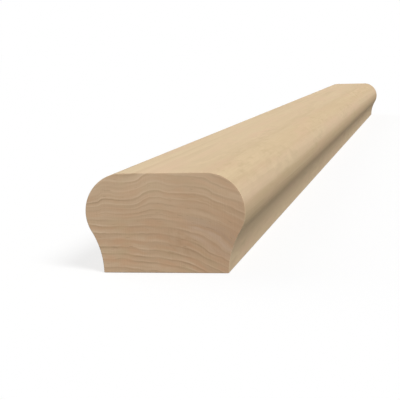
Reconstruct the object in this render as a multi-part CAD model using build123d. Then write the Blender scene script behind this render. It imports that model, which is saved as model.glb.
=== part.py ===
from build123d import *

import math
import os

# Straight wooden handrail: one moulded length, sawn square at both ends.
# Each side is a round shoulder that the palm rests on, over a hollow flank that the
# fingertips curl into. The flank ends upright at a flat underside.
#
# Millimetres. X runs across the rail, Y along it, Z up. The origin is the middle of the
# flat underside, and the end that shows its grain is at -Y.

INCH = 25.4

# The overall size of the section, and the length of the piece.
RAIL_WIDTH = (2 + 5 / 8) * INCH
RAIL_HEIGHT = (1 + 5 / 8) * INCH
RAIL_LENGTH = 48 * INCH

# The shape of one side.
SHOULDER_RADIUS = 5 / 8 * INCH
UNDERSIDE_INSET = 9 / 32 * INCH  # from the widest point in to the underside's corner
ARRIS_RADIUS = 0.4  # the sanded round along each bottom corner

# The shoulder is a circle that touches the side and the top.
shoulder_x = RAIL_WIDTH / 2 - SHOULDER_RADIUS
shoulder_z = RAIL_HEIGHT - SHOULDER_RADIUS

# The flank is a hollow circle. Its centre is level with the underside, so it meets the
# underside square, and its radius is the one that makes it tangent to the shoulder.
corner_x = RAIL_WIDTH / 2 - UNDERSIDE_INSET
corner_step = corner_x - shoulder_x
flank_radius = (corner_step**2 + shoulder_z**2 - SHOULDER_RADIUS**2) / (2 * UNDERSIDE_INSET)
flank_x = corner_x + flank_radius

# How far below level the line from the shoulder's centre to the flank's centre points.
tangent_angle = math.degrees(math.atan2(shoulder_z, flank_x - shoulder_x))


def side_curves():
    """The shoulder and the flank on the +X side, from the top down to the underside."""
    shoulder = CenterArc((shoulder_x, shoulder_z), SHOULDER_RADIUS, 90, -90 - tangent_angle)
    flank = CenterArc((flank_x, 0), flank_radius, 180 - tangent_angle, tangent_angle)
    return shoulder + flank


def rail_section():
    """The closed section, seen from -Y, with both bottom corners eased."""
    top = Line((-shoulder_x, RAIL_HEIGHT), (shoulder_x, RAIL_HEIGHT))
    underside = Line((-corner_x, 0), (corner_x, 0))
    right = side_curves()
    left = mirror(right, about=Plane.YZ)
    outline = make_face(top + right + underside + left)
    bottom_corners = outline.vertices().group_by(Axis.Y)[0]
    return fillet(bottom_corners, radius=ARRIS_RADIUS)


def handrail():
    """The rail as one solid, centred along Y."""
    return extrude(Plane.XZ * rail_section(), amount=RAIL_LENGTH / 2, both=True)


os.makedirs("parts", exist_ok=True)
rail = handrail()
rail.label = "handrail"
export_step(rail, "parts/handrail.step")

print("flank radius", round(flank_radius, 3), "underside width", round(2 * corner_x, 3))
print("volume", round(rail.volume), "mm3", "size", rail.bounding_box().size)
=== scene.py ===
"""A straight moulded handrail in bare maple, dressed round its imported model.

The rail's mesh follows the true arcs of its section. The wood is one block of growth rings,
so the lines on the sawn end run on into the sides and the top.
"""

import logging
import math
from dataclasses import dataclass
from enum import Enum

import bmesh
import bpy
from mathutils import Matrix, Vector

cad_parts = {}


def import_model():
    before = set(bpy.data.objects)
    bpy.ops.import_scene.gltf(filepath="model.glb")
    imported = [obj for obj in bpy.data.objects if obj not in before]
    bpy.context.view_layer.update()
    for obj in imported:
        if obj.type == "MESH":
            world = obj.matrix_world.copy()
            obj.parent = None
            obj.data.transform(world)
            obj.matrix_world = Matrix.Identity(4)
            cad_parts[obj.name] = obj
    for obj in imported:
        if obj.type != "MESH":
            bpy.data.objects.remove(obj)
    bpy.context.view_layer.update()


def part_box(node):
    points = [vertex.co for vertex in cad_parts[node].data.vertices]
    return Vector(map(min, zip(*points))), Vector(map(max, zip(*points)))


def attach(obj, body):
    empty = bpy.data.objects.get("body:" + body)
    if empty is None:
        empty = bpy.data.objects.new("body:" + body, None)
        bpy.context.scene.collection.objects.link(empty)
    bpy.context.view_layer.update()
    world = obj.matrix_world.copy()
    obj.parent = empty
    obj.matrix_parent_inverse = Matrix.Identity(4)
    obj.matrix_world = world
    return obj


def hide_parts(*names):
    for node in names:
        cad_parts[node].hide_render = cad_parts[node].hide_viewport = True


LOG = logging.getLogger("handrail")

MM = 0.001
INCH = 25.4 * MM

WHITE = (1, 1, 1, 1)

# The UV map that the finishes are baked through when the rail is exported.
BAKE_MAP = "OFBake"

# The node types that the materials use most.
MATH = "ShaderNodeMath"
MAP = "ShaderNodeMapRange"
MIX = "ShaderNodeMix"

# The sockets of a Mix node in its colour mode.
MIX_BELOW = 6
MIX_ABOVE = 7
MIX_RESULT = 2

# The tone of the wood between two growth lines, where 0 is the darkest tone and 1 the palest.
BODY_TONE = 0.5

Tree = bpy.types.NodeTree
Node = bpy.types.Node
Socket = bpy.types.NodeSocket
Source = Node | Socket


def linear(colour: str) -> tuple[float, float, float, float]:
    """Turns an sRGB hex colour into the linear one that shaders take.

    Args:
        colour: Six hex digits, such as "d8c09d".

    Returns:
        Red, green, blue and a full alpha.
    """
    channels = (int(colour[i : i + 2], 16) / 255 for i in (0, 2, 4))
    turned = (c / 12.92 if c <= 0.04045 else ((c + 0.055) / 1.055) ** 2.4 for c in channels)
    return (*turned, 1.0)


def add_node(tree: Tree, kind: str, inputs: dict | None = None, **settings: object) -> Node:
    """Adds a node with its settings, values and links.

    Args:
        tree: The node tree of a material or the world.
        kind: The node's type, such as ShaderNodeMath.
        inputs: For each input, by name or number, a value, the output that feeds it, or the
            node whose first output does.
        settings: The node's own properties, such as operation.

    Returns:
        The new node.
    """
    node = tree.nodes.new(kind)
    for name, value in settings.items():
        setattr(node, name, value)
    for name, value in (inputs or {}).items():
        if isinstance(value, Node):
            value = value.outputs[0]
        if isinstance(value, Socket):
            tree.links.new(value, node.inputs[name])
        else:
            node.inputs[name].default_value = value
    return node


def drawn_line(tree: Tree, value: Source, pairs: tuple) -> Source:
    """A smooth line drawn through a few points.

    Args:
        tree: The node tree.
        value: What runs along the line.
        pairs: The line's points from its start to its end, as (value, result) pairs.

    Returns:
        The line's result at that value.
    """
    start, end = pairs[0][0], pairs[-1][0]
    least = min(result for _, result in pairs)
    most = max(result for _, result in pairs)
    places = [((x - start) / (end - start), (y - least) / (most - least)) for x, y in pairs]
    along = add_node(tree, MAP, {"Value": value, "From Min": start, "From Max": end})
    curve = add_node(tree, "ShaderNodeFloatCurve", {"Value": along})
    points = curve.mapping.curves[0].points
    points[0].location = places[0]
    points[1].location = places[-1]
    for place in places[1:-1]:
        points.new(*place)
    for drawn in points:
        drawn.handle_type = "AUTO_CLAMPED"
    curve.mapping.update()
    return add_node(tree, MAP, {"Value": curve, "To Min": least, "To Max": most})


@dataclass(frozen=True)
class Lumps:
    """A pattern of soft lumps that keep their real size."""

    # How large the lumps are across, along and up the rail, in millimetres.
    size: tuple
    # About the lowest and highest value that the pattern gives.
    spread: tuple
    # How many finer patterns lie over the first, and how strong each is beside the last.
    finer: int = 2
    finer_strength: float = 0.55
    # The noise under the pattern seldom leaves the middle half of its range.
    noise_range: tuple = (0.25, 0.75)

    def pattern(self, tree: Tree, point: Source) -> Source:
        """Draws the lumps.

        Args:
            tree: The node tree.
            point: The place in the wood, in millimetres.

        Returns:
            The pattern's value.
        """
        sockets = {0: point, 1: self.size}
        scaled = add_node(tree, "ShaderNodeVectorMath", sockets, operation="DIVIDE")
        detail = {"Scale": 1.0, "Detail": self.finer, "Roughness": self.finer_strength}
        noise = add_node(tree, "ShaderNodeTexNoise", {"Vector": scaled, **detail})
        (least, most), (low, high) = self.noise_range, self.spread
        reach = {"From Min": least, "From Max": most, "To Min": low, "To Max": high}
        return add_node(tree, MAP, {"Value": noise, **reach}, clamp=False)


class Cut(Enum):
    """Which way a face cuts through the wood."""

    LONG_GRAIN = "long_grain"
    END_GRAIN = "end_grain"


@dataclass(frozen=True)
class WoodPlace:
    """Where a shaded spot lies in the block of wood."""

    # Across, along and up the rail, in millimetres, and the first and last by themselves.
    point: Source
    across: Source
    up: Source
    # The height of the growth ring that passes through the spot.
    height: Source
    # The same place with that height as its third number, so that patterns follow the rings.
    ring_point: Source


@dataclass(frozen=True)
class GrowthRings:
    """The block of wood that the rail is cut from, as a field of growth rings.

    A ring's height is the level, in millimetres above the underside, of the hump that the
    rings form left of the middle. Elsewhere a ring drops below that level, and how far it
    does changes from the low rings to the high ones.
    """

    # Where the near end lies, in millimetres along the rail. The heights are given there.
    near_end: float
    # Hardwood of medium growth: how wide a ring is, and a height at which one ends.
    ring_width: float = 2.95
    ring_edge: float = 19.4
    # How far the rings lie below their even places: (height, distance) pairs.
    early: tuple = (
        (0, 0),
        (1.7, 0),
        (5.2, -0.55),
        (7.5, 0.1),
        (13.5, 0),
        (19.4, 0),
        (22.6, -0.25),
        (24.3, 1),
        (26.4, 1.85),
        (29.1, 2.1),
        (34.4, 2.7),
        (41.6, 1.4),
        (60, 0),
    )
    # The low rings lie flat on the left and fall away on the right: (across, drop) pairs.
    low_bend: tuple = (
        (-34, -0.6),
        (-19, -0.4),
        (-8, 0.9),
        (-3, 1.1),
        (7, 2.8),
        (11, 4),
        (19, 8),
        (26, 11.2),
        (34, 15.4),
    )
    # The middle rings do the same, but less.
    middle_bend: tuple = ((-34, -0.6), (-21, 0.2), (-8, 0), (2, 0.5), (9, 1.6), (18, 3.8), (34, 11))
    # The high rings ripple: a dip at each side and a hump left of the middle.
    high_bend: tuple = (
        (-34, 6),
        (-28, 4.8),
        (-25, 3.3),
        (-18, 4.1),
        (-14, 3.9),
        (-8, 1.2),
        (-4, 0),
        (2, 1.2),
        (14, 1.7),
        (21, 4.5),
        (34, 9),
    )
    # The levels at which the rings take these three bends.
    low_level: float = 7
    middle_level: float = 19
    high_level: float = 31
    # The grain isn't quite in line with the rail: how far the rings climb along it, and how
    # they wander and ripple, in millimetres.
    climb: float = 0.0035
    wander: Lumps = Lumps((40, 420, 40), (-0.4, 0.4), 1)
    ripple: Lumps = Lumps((6, 130, 4), (-0.35, 0.35))
    # How clearly the rings show, at each height and from the left to the right.
    clarity_up: tuple = (
        (0, 0.7),
        (5.2, 1.1),
        (10.5, 1.7),
        (13.5, 0.6),
        (16.5, 1.1),
        (19, 1.15),
        (34.4, 1),
        (37, 0.35),
        (39.5, 0.65),
        (60, 0.5),
    )
    clarity_across: tuple = ((-34, 0.95), (-8, 0.87), (2, 0.68), (12, 0.8), (20, 0.8), (34, 0.8))
    # The slow years between are faint: which rings those are, and how clearly they show
    # from the left to the right.
    faint_up: tuple = ((0, 0), (19.4, 0), (21.8, 1), (29.5, 1), (31.4, 0.65), (33.6, 0), (60, 0))
    faint_across: tuple = (
        (-34, 0.3),
        (-22, 0.35),
        (-14, 0.75),
        (-2, 0.8),
        (6, 0.35),
        (14, 0.12),
        (34, 0.12),
    )
    # How clear the faintest and the clearest single year is, and how each line comes and goes.
    year_clarity: tuple = (0.7, 1.2)
    fade: Lumps = Lumps((11, 240, 3.5), (0.2, 1.25))
    # The broad bands and the fine streaks that run along between the lines.
    bands: Lumps = Lumps((22, 300, 2.4), (-0.17, 0.17), 1)
    fine_streaks: Lumps = Lumps((13, 240, 0.9), (-0.15, 0.15), 3)
    # The tone through one ring, from its start to its dark late edge.
    ring_tone: tuple = (
        (0, 0.78),
        (0.1, 0.84),
        (0.28, 0.6),
        (0.55, 0.5),
        (0.74, 0.36),
        (0.88, 0.06),
        (0.94, 0.06),
        (1, 0.4),
    )

    def place(self, tree: Tree) -> WoodPlace:
        """Finds a spot's place in the block.

        Args:
            tree: The node tree.

        Returns:
            The place.
        """
        spot = add_node(tree, "ShaderNodeTexCoord").outputs["Object"]
        point = add_node(tree, "ShaderNodeMapping", {"Vector": spot, "Scale": (1 / MM,) * 3})
        across, along, up = add_node(tree, "ShaderNodeSeparateXYZ", {0: point}).outputs
        drop = drawn_line(tree, across, self.low_bend)
        for start, end, bend in (
            (self.low_level, self.middle_level, self.middle_bend),
            (self.middle_level, self.high_level, self.high_bend),
        ):
            next_drop = drawn_line(tree, across, bend)
            zone = {"From Min": start, "From Max": end, "To Min": drop, "To Max": next_drop}
            drop = add_node(tree, MAP, {"Value": up, **zone}, interpolation_type="SMOOTHSTEP")
        flat = add_node(tree, MATH, {0: up, 1: drop}, operation="ADD")
        past = add_node(tree, MATH, {0: along, 1: self.near_end}, operation="SUBTRACT")
        climbed = add_node(tree, MATH, {0: past, 1: self.climb, 2: flat}, operation="MULTIPLY_ADD")
        wander = self.wander.pattern(tree, point)
        ripple = self.ripple.pattern(tree, point)
        waves = add_node(tree, MATH, {0: wander, 1: ripple}, operation="ADD")
        height = add_node(tree, MATH, {0: climbed, 1: waves}, operation="ADD")
        ring_point = add_node(tree, "ShaderNodeCombineXYZ", {0: across, 1: along, 2: height})
        return WoodPlace(point, across, up, height, ring_point)

    def lines(self, tree: Tree, place: WoodPlace) -> Source:
        """The tone of the growth lines: dark at a ring's edge, and pale just past it.

        Between two lines it is the tone of the wood's body.

        Args:
            tree: The node tree.
            place: The place in the wood.

        Returns:
            The tone.
        """
        early = drawn_line(tree, place.height, self.early)
        spaced = add_node(tree, MATH, {0: place.height, 1: early}, operation="ADD")
        above = add_node(tree, MATH, {0: spaced, 1: self.ring_edge}, operation="SUBTRACT")
        count = add_node(tree, MATH, {0: above, 1: self.ring_width}, operation="DIVIDE")
        number = add_node(tree, MATH, {0: count}, operation="FLOOR")
        through = add_node(tree, MATH, {0: count}, operation="FRACT")
        ring = drawn_line(tree, through, self.ring_tone)
        swing = add_node(tree, MATH, {0: ring, 1: BODY_TONE}, operation="SUBTRACT")

        chance = add_node(tree, "ShaderNodeTexWhiteNoise", {"W": number}, noise_dimensions="1D")
        faintest, clearest = self.year_clarity
        year = add_node(tree, MAP, {"Value": chance, "To Min": faintest, "To Max": clearest})
        clear_years = drawn_line(tree, place.height, self.clarity_up)
        faint_years = drawn_line(tree, place.across, self.faint_across)
        faint = drawn_line(tree, place.height, self.faint_up)
        either = {"To Min": clear_years, "To Max": faint_years}
        clarity = add_node(tree, MAP, {"Value": faint, **either})
        clear = add_node(tree, MATH, {0: year, 1: clarity}, operation="MULTIPLY")
        fade = self.fade.pattern(tree, place.ring_point)
        shown = add_node(tree, MATH, {0: clear, 1: fade}, operation="MULTIPLY")

        bands = self.bands.pattern(tree, place.ring_point)
        fine = self.fine_streaks.pattern(tree, place.ring_point)
        even = add_node(tree, MATH, {0: bands, 1: fine}, operation="ADD")
        lined = add_node(tree, MATH, {0: swing, 1: shown, 2: even}, operation="MULTIPLY_ADD")
        sided = drawn_line(tree, place.across, self.clarity_across)
        return add_node(tree, MATH, {0: lined, 1: sided, 2: BODY_TONE}, operation="MULTIPLY_ADD")


@dataclass(frozen=True)
class Tint:
    """Another tone of the wood, which shows in soft lumps."""

    tone: str
    lumps: Lumps


@dataclass(frozen=True)
class Streak:
    """A stain of another tone on a sawn end, which follows the growth rings."""

    tone: str
    # How much of it shows at each height and from the left to the right.
    up: tuple
    across: tuple
    lumps: Lumps = Lumps((6, 120, 0.8), (0.1, 1.7), 1)


@dataclass(frozen=True)
class BareMaple:
    """Hard maple, moulded and sanded, with no stain or varnish.

    It gives the eye a pale, even, biscuit-coloured wood with a soft, dry sheen. The sides and
    the top show only faint lines. The sawn ends soak up light in their open pores, so they
    are darker, browner and show every growth ring.
    """

    rings: GrowthRings
    # Tones of a planed face: a ring's edge, the body of the wood, and just past the edge.
    long_dark: str = "d0b896"
    long_body: str = "dbc4a2"
    long_pale: str = "e0cbaa"
    pink_clouds: Tint = Tint("ddc2a3", Lumps((9, 90, 9), (-0.8, 1.2)))
    # The patches where its fibres curl, how much of them shows from the left to the right, and
    # the dark and the bright spots in them.
    curly_patches: Lumps = Lumps((12, 110, 12), (-0.5, 1.3), 1)
    curly_across: tuple = ((-34, 0.25), (2, 0.3), (14, 1), (28, 1), (34, 0.5))
    curls: tuple = (
        Tint("d3bc9a", Lumps((3.4, 20, 3.4), (-1.1, 1.3))),
        Tint("e0c9a7", Lumps((3.8, 24, 3.8), (-1.1, 1.3))),
    )
    # Its fibres, and how far they stand out, in metres. Single fibres are too fine to show, so
    # these are bundles of them, half a millimetre wide.
    fibres: Lumps = Lumps((0.5, 42, 0.5), (-0.2, 0.35), 3)
    fibre_relief: float = 0.01 * MM
    # Tones of a sawn end: a ring's edge, the body of the wood, and just past the edge.
    end_dark: str = "bba183"
    end_body: str = "d2b798"
    end_pale: str = "e2caab"
    # Its warm and its olive clouds, and how much of them shows at each height.
    end_clouds: tuple = (
        Tint("d3ae8c", Lumps((11, 300, 3.5), (-0.5, 0.85))),
        Tint("cbb592", Lumps((12, 300, 6), (-0.7, 0.6))),
    )
    clouds_up: tuple = ((0, 1), (18, 1), (24, 0.6), (60, 0.6))
    # A few short dark flecks follow the rings.
    flecks: Lumps = Lumps((4.5, 60, 0.5), (-7.5, 0.8), 1)
    # Its rays, and how far they stand out, in metres. They are drawn a little coarser than
    # real ones, so that they show.
    rays: Lumps = Lumps((0.35, 30, 5), (0, 1))
    ray_relief: float = 0.03 * MM
    # To the right a pale grey mineral streak follows one ring down, with a fainter one under
    # it and a grey stain over it. A brown stain follows a higher ring. Small brown curls lie
    # under the middle, and to their right the edges of two low rings are darker than the rest.
    streaks: tuple = (
        Streak(
            "dac3aa",
            up=((0, 0), (16.6, 0), (18, 0.45), (19.2, 0.2), (21, 0.68), (22.2, 0), (60, 0)),
            across=((-34, 0), (6, 0), (12, 0.8), (24, 1), (34, 0.8)),
        ),
        Streak(
            "c4af9a",
            up=((0, 0), (21.7, 0), (22.8, 0.32), (25, 0.27), (27, 0), (60, 0)),
            across=((-34, 0), (6, 0), (12, 1), (27, 0.8), (34, 0.4)),
        ),
        Streak(
            "bf9c78",
            up=((0, 0), (30.2, 0), (32.2, 0.26), (33.8, 0.24), (35.4, 0), (60, 0)),
            across=((-34, 0), (3, 0), (10, 1), (22, 0.9), (28, 0.3), (34, 0)),
        ),
        Streak(
            "bd9e7c",
            up=((0, 0), (8, 0), (11, 0.3), (17, 0.3), (20, 0), (60, 0)),
            across=((-34, 0), (-2, 0), (4, 1), (9, 0.8), (15, 0), (34, 0)),
            lumps=Lumps((2.6, 50, 1.3), (-0.8, 1.4), 1),
        ),
        Streak(
            "a88b6a",
            up=((12, 0), (12.8, 0.14), (13.3, 0.34), (13.6, 0), (15.4, 0), (16.2, 0.26), (16.5, 0)),
            across=((-34, 0), (1, 0), (6, 0.6), (11, 1), (18, 0.8), (25, 0), (34, 0)),
        ),
    )
    # Painted shade: the planed faces right of the middle take a darker, yellower tint that
    # stands in for shade, and how much of it, from the left to the right. Two levels stay pale,
    # as painted light: one low on the shoulder and the foot of the flank.
    painted_shade_tone: str = "f6f4ef"
    painted_shade_across: tuple = ((-34, 0), (0, 0), (14, 0.5), (24, 1), (34, 1))
    painted_shade_up: tuple = (
        (0, 0),
        (15, 0),
        (21.5, 1),
        (26, 1),
        (28.5, 0.6),
        (30.5, 0),
        (33, 0),
        (37, 0.67),
        (42, 0.67),
    )
    # A sawn end is darkest to the right and below the middle: its tint there, how much of it
    # shows at each height above the underside, how that changes from left to right, and how
    # much of that change is left at each height.
    end_darker_tone: str = "e8e0dc"
    end_darker_up: tuple = (
        (0, 0.52),
        (3, 0.56),
        (8, 0.66),
        (17.5, 0.74),
        (22, 0.6),
        (27, 0.54),
        (32, 0.41),
        (37, 0.28),
        (42, 0.26),
    )
    end_darker_across: tuple = ((-34, -0.32), (34, 0.32))
    end_darker_change_up: tuple = ((0, 1), (15, 1), (28, 0.4), (42, 0.35))
    # Bare sanded wood is all open pores and fibre ends, so it hardly shines, even at a glance.
    specular: float = 0.01
    roughness: Lumps = Lumps((6, 60, 6), (0.7, 0.85))

    def tones(self, tree: Tree, tone: Source, dark: str, body: str, pale: str) -> Source:
        """Three tones of one cut, from a ring's dark edge to its pale start.

        Args:
            tree: The node tree.
            tone: The growth lines' tone.
            dark: The dark tone.
            body: The tone between.
            pale: The pale tone.

        Returns:
            The colour.
        """
        ramp = add_node(tree, "ShaderNodeValToRGB", {"Fac": tone})
        ramp.color_ramp.elements[0].color = linear(dark)
        ramp.color_ramp.elements[1].color = linear(pale)
        ramp.color_ramp.elements.new(BODY_TONE).color = linear(body)
        return ramp

    def lay(self, tree: Tree, share: Source, below: Source, above: str, way: str = "MIX") -> Source:
        """One colour laid over another.

        Args:
            tree: The node tree.
            share: How much of the upper colour shows.
            below: The lower colour.
            above: The upper colour.
            way: How the two are blended.

        Returns:
            The blended colour.
        """
        sockets = {0: share, MIX_BELOW: below, MIX_ABOVE: linear(above)}
        mixed = add_node(tree, MIX, sockets, data_type="RGBA", blend_type=way)
        return mixed.outputs[MIX_RESULT]

    def lay_patches(
        self, tree: Tree, patches: Source, kept: Source, below: Source, above: str
    ) -> Source:
        """One colour laid over another in patches.

        Args:
            tree: The node tree.
            patches: The pattern of the patches.
            kept: How much of that pattern shows.
            below: The lower colour.
            above: The upper colour.

        Returns:
            The blended colour.
        """
        sockets = {0: patches, 1: kept}
        share = add_node(tree, MATH, sockets, operation="MULTIPLY", use_clamp=True)
        return self.lay(tree, share, below, above)

    def planed(self, tree: Tree, place: WoodPlace) -> tuple[Source, Source, float]:
        """A face that runs with the grain.

        Args:
            tree: The node tree.
            place: The place in the wood.

        Returns:
            The colour, the relief and the relief's depth in metres.
        """
        tone = self.rings.lines(tree, place)
        lined = self.tones(tree, tone, self.long_dark, self.long_body, self.long_pale)
        pink = self.pink_clouds.lumps.pattern(tree, place.point)
        tinted = self.lay(tree, pink, lined, self.pink_clouds.tone)

        patches = self.curly_patches.pattern(tree, place.point)
        band = drawn_line(tree, place.across, self.curly_across)
        curly = add_node(tree, MATH, {0: patches, 1: band}, operation="MULTIPLY")
        for curl in self.curls:
            spots = curl.lumps.pattern(tree, place.point)
            tinted = self.lay_patches(tree, spots, curly, tinted, curl.tone)

        fibres = self.fibres.pattern(tree, place.point)
        fibred = self.lay(tree, fibres, tinted, self.long_dark)
        # Painted shade: a darker, yellower tint on the right side's faces, left off at two levels
        # as painted light.
        side = drawn_line(tree, place.across, self.painted_shade_across)
        level = drawn_line(tree, place.up, self.painted_shade_up)
        darkening = add_node(tree, MATH, {0: side, 1: level}, operation="MULTIPLY")
        colour = self.lay(tree, darkening, fibred, self.painted_shade_tone, "MULTIPLY")
        return colour, fibres, self.fibre_relief

    def sawn(self, tree: Tree, place: WoodPlace) -> tuple[Source, Source, float]:
        """A face sawn across the grain.

        Args:
            tree: The node tree.
            place: The place in the wood.

        Returns:
            The colour, the relief and the relief's depth in metres.
        """
        tone = self.rings.lines(tree, place)
        tinted = self.tones(tree, tone, self.end_dark, self.end_body, self.end_pale)
        cloudiness = drawn_line(tree, place.height, self.clouds_up)
        for cloud in self.end_clouds:
            lumps = cloud.lumps.pattern(tree, place.ring_point)
            tinted = self.lay_patches(tree, lumps, cloudiness, tinted, cloud.tone)

        for streak in self.streaks:
            level = drawn_line(tree, place.height, streak.up)
            side = drawn_line(tree, place.across, streak.across)
            reach = add_node(tree, MATH, {0: level, 1: side}, operation="MULTIPLY")
            lumps = streak.lumps.pattern(tree, place.ring_point)
            tinted = self.lay_patches(tree, lumps, reach, tinted, streak.tone)

        flecks = self.flecks.pattern(tree, place.ring_point)
        flecked = self.lay(tree, flecks, tinted, self.end_dark)

        # The sawn end is tinted darker to the right and below the middle.
        depth = drawn_line(tree, place.up, self.end_darker_up)
        side = drawn_line(tree, place.across, self.end_darker_across)
        kept = drawn_line(tree, place.up, self.end_darker_change_up)
        sockets = {0: side, 1: kept, 2: depth}
        darkening = add_node(tree, MATH, sockets, operation="MULTIPLY_ADD", use_clamp=True)
        colour = self.lay(tree, darkening, flecked, self.end_darker_tone, "MULTIPLY")
        return colour, self.rays.pattern(tree, place.point), self.ray_relief

    def material(self, cut: Cut) -> bpy.types.Material:
        """The finish of one cut.

        Args:
            cut: Which way the face cuts the wood.

        Returns:
            The material.
        """
        material = bpy.data.materials.new(f"bare_maple_{cut.value}")
        material.use_nodes = True
        tree = material.node_tree
        tree.nodes.clear()
        place = self.rings.place(tree)
        dress = self.planed if cut is Cut.LONG_GRAIN else self.sawn
        colour, relief, depth = dress(tree, place)
        surface = add_node(
            tree,
            "ShaderNodeBsdfPrincipled",
            {
                "Base Color": colour,
                "Roughness": self.roughness.pattern(tree, place.point),
                "Specular IOR Level": self.specular,
                "Normal": add_node(tree, "ShaderNodeBump", {"Height": relief, "Distance": depth}),
            },
        )
        add_node(tree, "ShaderNodeOutputMaterial", {"Surface": surface})
        return material


@dataclass
class MouldedRail:
    """The rail itself: one length of solid wood, sawn square at both ends.

    Each side of its section is three arcs: a round shoulder, a hollow flank that ends
    upright, and a sanded round at the corner of the flat underside.
    """

    low: Vector
    high: Vector
    finish: BareMaple
    shoulder_radius: float = 5 / 8 * INCH
    underside_inset: float = 9 / 32 * INCH
    arris_radius: float = 0.4 * MM
    # The saw leaves a crisp edge, and sanding takes only the splinters off it.
    sawn_edge: float = 0.25 * MM
    # How finely each arc, each flat and the length are divided.
    shoulder_steps: int = 32
    flank_steps: int = 12
    arris_steps: int = 4
    # An even number, so that a line of edges runs along the middle of the top and underside.
    flat_strips: int = 8
    lengths: int = 40
    # Faces that meet at more than this many degrees keep a hard edge.
    hard_edge: float = 8
    # A face belongs to a sawn end where its normal points at least this much along the rail.
    sawn_lean: float = 0.8
    # The bake map is one unit square: how much of its width the long faces take, and the gap
    # between what is laid out on it.
    long_faces_share: float = 0.7
    map_gap: float = 0.01

    def draw_arc(
        self,
        bm: bmesh.types.BMesh,
        start: bmesh.types.BMVert,
        centre: tuple[float, float],
        turn: float,
        steps: int,
    ) -> bmesh.types.BMVert:
        """Draws an arc on from a vertex, in the near end's plane.

        Args:
            bm: The mesh being drawn.
            start: Where the arc starts.
            centre: The arc's centre, across and up.
            turn: The arc's angle in degrees, positive from the top towards the right.
            steps: How many edges the arc has.

        Returns:
            The arc's last vertex.
        """
        spun = bmesh.ops.spin(
            bm,
            geom=[start],
            cent=(centre[0], self.low.y, centre[1]),
            axis=(0, 1, 0),
            dvec=(0, 0, 0),
            angle=math.radians(turn),
            space=Matrix.Identity(4),
            steps=steps,
            use_merge=False,
            use_normal_flip=False,
            use_duplicate=False,
        )
        return next(item for item in spun["geom_last"] if isinstance(item, bmesh.types.BMVert))

    def draw_side(self, bm: bmesh.types.BMesh) -> None:
        """Draws the right side of the near end, from the flat top to the flat underside.

        Args:
            bm: The empty mesh to draw in.
        """
        shoulder = (self.high.x - self.shoulder_radius, self.high.z - self.shoulder_radius)
        corner = self.high.x - self.underside_inset
        step = corner - shoulder[0]
        drop = shoulder[1] - self.low.z
        # The flank's centre is level with the underside, and it is tangent to the shoulder.
        flank_radius = (step**2 + drop**2 - self.shoulder_radius**2) / (2 * self.underside_inset)
        flank = (corner + flank_radius, self.low.z)
        tangent = math.degrees(math.atan2(drop, flank[0] - shoulder[0]))
        # The arris touches the flank and the underside.
        between = flank_radius + self.arris_radius
        ease = math.asin(self.arris_radius / between)
        arris = (flank[0] - between * math.cos(ease), self.low.z + self.arris_radius)
        ease = math.degrees(ease)

        top = bm.verts.new((shoulder[0], self.low.y, self.high.z))
        side = self.draw_arc(bm, top, shoulder, 90 + tangent, self.shoulder_steps)
        foot = self.draw_arc(bm, side, flank, ease - tangent, self.flank_steps)
        self.draw_arc(bm, foot, arris, 90 - ease, self.arris_steps)

    def close_section(self, bm: bmesh.types.BMesh) -> bmesh.types.BMFace:
        """Mirrors the side, and closes the section with the flat top and underside.

        Args:
            bm: The mesh that holds the right side.

        Returns:
            The near end's face.
        """
        side = bm.verts[:] + bm.edges[:]
        bmesh.ops.mirror(bm, geom=side, matrix=Matrix.Identity(4), merge_dist=0, axis="X")
        ends = sorted((v for v in bm.verts if len(v.link_edges) == 1), key=lambda v: v.co.z)
        flats = [bm.edges.new(pair) for pair in (ends[:2], ends[2:])]
        bmesh.ops.subdivide_edges(bm, edges=flats, cuts=self.flat_strips - 1)
        return bmesh.ops.contextual_create(bm, geom=bm.edges[:])["faces"][0]

    def draw_out(self, bm: bmesh.types.BMesh, near: bmesh.types.BMFace) -> None:
        """Draws the section out to the far end, and takes the splinters off both ends.

        Args:
            bm: The mesh that holds the near end.
            near: The near end's face.
        """
        length = self.high.y - self.low.y
        grown = bmesh.ops.extrude_face_region(bm, geom=[near], use_keep_orig=True)["geom"]
        far = [item for item in grown if isinstance(item, bmesh.types.BMVert)]
        bmesh.ops.translate(bm, verts=far, vec=(0, length, 0))
        bmesh.ops.recalc_face_normals(bm, faces=bm.faces)
        ends = [face for face in bm.faces if self.cut_of(face) is Cut.END_GRAIN]
        rims = {edge for face in ends for edge in face.edges}
        bmesh.ops.bevel(
            bm,
            geom=list(rims),
            offset=self.sawn_edge,
            offset_type="OFFSET",
            affect="EDGES",
            segments=2,
            profile=0.5,
            material=-1,
            clamp_overlap=False,
        )
        runs = [edge for edge in bm.edges if edge.calc_length() > length / 2]
        bmesh.ops.subdivide_edges(bm, edges=runs, cuts=self.lengths - 1, use_grid_fill=True)
        bmesh.ops.recalc_face_normals(bm, faces=bm.faces)

    def cut_of(self, face: bmesh.types.BMFace) -> Cut:
        """Which way a face cuts the wood."""
        return Cut.END_GRAIN if abs(face.normal.y) > self.sawn_lean else Cut.LONG_GRAIN

    def on_long_faces(self, spot: Vector, side: float) -> tuple[float, float]:
        """Finds a place on the long faces, opened out from a seam along the underside.

        Args:
            spot: The place.
            side: 1 on the right half of the rail, and -1 on the left half.

        Returns:
            The place on the bake map: round the rail, and along it.
        """
        middle = (self.low.z + self.high.z) / 2
        turn = side * math.atan2(abs(spot.x), spot.z - middle)
        along = (spot.y - self.low.y) / (self.high.y - self.low.y)
        return (self.long_faces_share * (0.5 + turn / math.tau), along)

    def on_end(self, spot: Vector, far: bool) -> tuple[float, float]:
        """Finds a place on a sawn end. The ends lie on their sides, the far one above.

        Args:
            spot: The place.
            far: Whether it is on the far end.

        Returns:
            The place on the bake map: up the rail, and across it.
        """
        up = (spot.z - self.low.z) / (self.high.z - self.low.z)
        room = 1 - self.long_faces_share - 2 * self.map_gap
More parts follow.
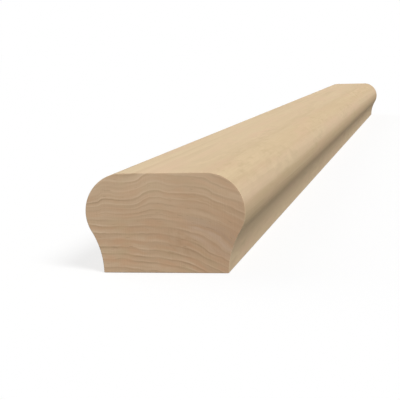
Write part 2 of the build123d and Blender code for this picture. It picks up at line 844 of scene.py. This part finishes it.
        # Each end takes half of the map's height, and is laid out as a viewer in front of it
        # sees it, so neither is mirrored.
        half = 0.5
        left, shelf = (self.low.x, half) if far else (self.high.x, 0)
        across = abs(spot.x - left) / (self.high.x - self.low.x)
        return (
            self.long_faces_share + self.map_gap + up * room,
            shelf + self.map_gap / 2 + across * (half - self.map_gap),
        )

    def lay_out(self, bm: bmesh.types.BMesh) -> None:
        """Lays every face out on the bake map.

        The sawn ends get more room for each millimetre than the long faces, because their
        growth rings are finer.

        Args:
            bm: The finished mesh.
        """
        bake_map = bm.loops.layers.uv.new(BAKE_MAP)
        for face in bm.faces:
            centre = face.calc_center_median()
            cut = self.cut_of(face)
            side = math.copysign(1, centre.x)
            for loop in face.loops:
                if cut is Cut.END_GRAIN:
                    loop[bake_map].uv = self.on_end(loop.vert.co, far=centre.y > 0)
                else:
                    loop[bake_map].uv = self.on_long_faces(loop.vert.co, side)

    def build(self) -> bpy.types.Object:
        """Builds and dresses the rail.

        Returns:
            The rail's object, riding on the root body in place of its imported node.
        """
        bm = bmesh.new()
        self.draw_side(bm)
        near = self.close_section(bm)
        self.draw_out(bm, near)
        self.lay_out(bm)
        cuts = list(Cut)
        for face in bm.faces:
            face.material_index = cuts.index(self.cut_of(face))
            face.smooth = True
        mesh = bpy.data.meshes.new("moulded_rail")
        bm.to_mesh(mesh)
        bm.free()
        mesh.set_sharp_from_angle(angle=math.radians(self.hard_edge))
        for cut in cuts:
            mesh.materials.append(self.finish.material(cut))
        rail = bpy.data.objects.new("moulded_rail", mesh)
        bpy.context.scene.collection.objects.link(rail)
        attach(rail, "root")
        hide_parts("handrail")
        return rail


@dataclass(frozen=True)
class SoftLamp:
    """A large soft lamp, far enough away to light the whole rail alike."""

    name: str
    # The direction in which it hangs, from the rail.
    place: tuple
    # The share of full light that it gives a face turned to it.
    share: float
    # How many degrees of the view it fills.
    spread: float

    def on_floor(self) -> float:
        """The share of full light that it gives the open floor."""
        return self.share * Vector(self.place).normalized().z

    def hang(self) -> bpy.types.Object:
        """Hangs the lamp.

        Returns:
            The lamp's object.
        """
        data = bpy.data.lights.new(self.name, "SUN")
        data.energy = math.pi * self.share
        data.angle = math.radians(self.spread)
        lamp = bpy.data.objects.new(self.name, data)
        lamp.rotation_mode = "QUATERNION"
        lamp.rotation_quaternion = Vector(self.place).to_track_quat("Z", "Y")
        bpy.context.scene.collection.objects.link(lamp)
        return lamp


@dataclass
class Studio:
    """A pale studio: a white floor that runs out to a white surround, and soft light.

    The main lamp hangs up at the front right, and a weaker one fills in from the back left.
    """

    # The level of the rail's underside. The floor lies a hair below it, so that the two never
    # share a plane.
    underside: float
    floor_gap: float = 0.1 * MM
    floor_half: float = 30.0
    # What the surround and the floor give back to the wood, as shares of full white.
    surround: float = 0.26
    floor_bounce: float = 0.274
    main_lamp: SoftLamp = SoftLamp(
        "main_lamp", place=(0.478, -0.556, 0.682), share=0.90, spread=24
    )
    fill_lamp: SoftLamp = SoftLamp(
        "fill_lamp", place=(-0.764, 0.514, 0.389), share=0.29, spread=60
    )
    # How much of the floor's own shadows show: the rest of it is an even white.
    shadow_depth: float = 0.25

    def seen_directly(self, tree: Tree) -> Source:
        """1 where the camera, a reflection or clear glass looks at the surface, otherwise 0.

        Args:
            tree: The node tree.

        Returns:
            The value.
        """
        path = add_node(tree, "ShaderNodeLightPath").outputs
        mirrored = add_node(
            tree,
            MATH,
            {0: path["Is Glossy Ray"], 1: path["Is Transmission Ray"]},
            operation="MAXIMUM",
        )
        return add_node(tree, MATH, {0: path["Is Camera Ray"], 1: mirrored}, operation="MAXIMUM")

    def paper(self) -> bpy.types.Material:
        """Matt white paper: the eye sees a plain white with only a soft shadow on it.

        Returns:
            The material.
        """
        material = bpy.data.materials.new("matt_white_paper")
        material.use_nodes = True
        tree = material.node_tree
        tree.nodes.clear()
        seen = self.seen_directly(tree)
        # The open floor is as bright as this, and the even white makes up what it lacks.
        lamps = self.main_lamp.on_floor() + self.fill_lamp.on_floor()
        open_floor = self.surround + lamps
        even_white = (1 - self.shadow_depth * open_floor) / (1 - self.shadow_depth)
        grey = (self.floor_bounce,) * 3 + (1,)
        sockets = {0: seen, MIX_BELOW: grey, MIX_ABOVE: WHITE}
        colour = add_node(tree, MIX, sockets, data_type="RGBA").outputs[MIX_RESULT]
        lit = add_node(tree, "ShaderNodeBsdfDiffuse", {"Color": colour})
        even = add_node(tree, "ShaderNodeEmission", {"Color": WHITE, "Strength": even_white})
        share = add_node(tree, MATH, {0: seen, 1: 1 - self.shadow_depth}, operation="MULTIPLY")
        surface = add_node(tree, "ShaderNodeMixShader", {0: share, 1: lit, 2: even})
        add_node(tree, "ShaderNodeOutputMaterial", {"Surface": surface})
        return material

    def build_floor(self) -> bpy.types.Object:
        """Builds the floor.

        Returns:
            The floor's object.
        """
        bm = bmesh.new()
        bmesh.ops.create_grid(bm, x_segments=1, y_segments=1, size=self.floor_half)
        bmesh.ops.translate(bm, verts=bm.verts, vec=(0, 0, self.underside - self.floor_gap))
        mesh = bpy.data.meshes.new("studio_floor")
        bm.to_mesh(mesh)
        bm.free()
        mesh.materials.append(self.paper())
        floor = bpy.data.objects.new("studio_floor", mesh)
        bpy.context.scene.collection.objects.link(floor)
        return floor

    def build_surround(self) -> bpy.types.World:
        """Sets the white surround, which lights the wood less than it shows.

        Returns:
            The world.
        """
        world = bpy.data.worlds.new("studio_surround")
        world.use_nodes = True
        tree = world.node_tree
        tree.nodes.clear()
        seen = self.seen_directly(tree)
        strength = add_node(tree, MAP, {"Value": seen, "To Min": self.surround, "To Max": 1.0})
        white = add_node(tree, "ShaderNodeBackground", {"Color": WHITE, "Strength": strength})
        add_node(tree, "ShaderNodeOutputWorld", {"Surface": white})
        bpy.context.scene.world = world
        return world


@dataclass
class Viewpoint:
    """The viewer's place: low and close in front of the near end, a little to its right."""

    # Metres, in the rail's frame.
    place: tuple = (0.1089, -1.1264, 0.0907)
    # Degrees: turned to the left of the rail's own line, tipped down, and rolled.
    turned_left: float = 10.31
    tipped_down: float = 6.58
    rolled: float = -1.42
    # A long lens: 17 degrees across the frame.
    lens: float = 117.2
    # How near and how far it sees, in metres.
    nearest: float = 0.01
    farthest: float = 200

    def build(self) -> bpy.types.Object:
        """Sets the camera up as the scene's own.

        Returns:
            The camera's object.
        """
        turned = Matrix.Rotation(math.radians(self.turned_left), 4, "Z")
        tipped = Matrix.Rotation(math.radians(90 - self.tipped_down), 4, "X")
        rolled = Matrix.Rotation(math.radians(self.rolled), 4, "Z")
        data = bpy.data.cameras.new("viewpoint")
        data.lens = self.lens
        data.clip_start = self.nearest
        data.clip_end = self.farthest
        camera = bpy.data.objects.new("viewpoint", data)
        camera.matrix_world = Matrix.Translation(self.place) @ turned @ tipped @ rolled
        bpy.context.scene.collection.objects.link(camera)
        bpy.context.scene.camera = camera
        return camera


def main() -> None:
    """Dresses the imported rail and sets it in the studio."""
    logging.basicConfig(level=logging.INFO, format="%(message)s")
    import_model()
    low, high = (Vector(corner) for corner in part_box("handrail"))

    camera = Viewpoint().build()
    LOG.info("camera %s: %.1f mm lens", camera.name, camera.data.lens)
    rings = GrowthRings(near_end=low.y / MM)
    rail = MouldedRail(low, high, BareMaple(rings)).build()
    LOG.info("piece %s: %d faces", rail.name, len(rail.data.polygons))
    studio = Studio(underside=low.z)
    lamps = (studio.main_lamp.hang(), studio.fill_lamp.hang())
    for part in (studio.build_floor(), *lamps, studio.build_surround()):
        LOG.info("studio %s", part.name)

    bpy.context.scene.view_settings.view_transform = "Standard"
    bpy.context.view_layer.update()


if __name__ == "__main__":
    main()
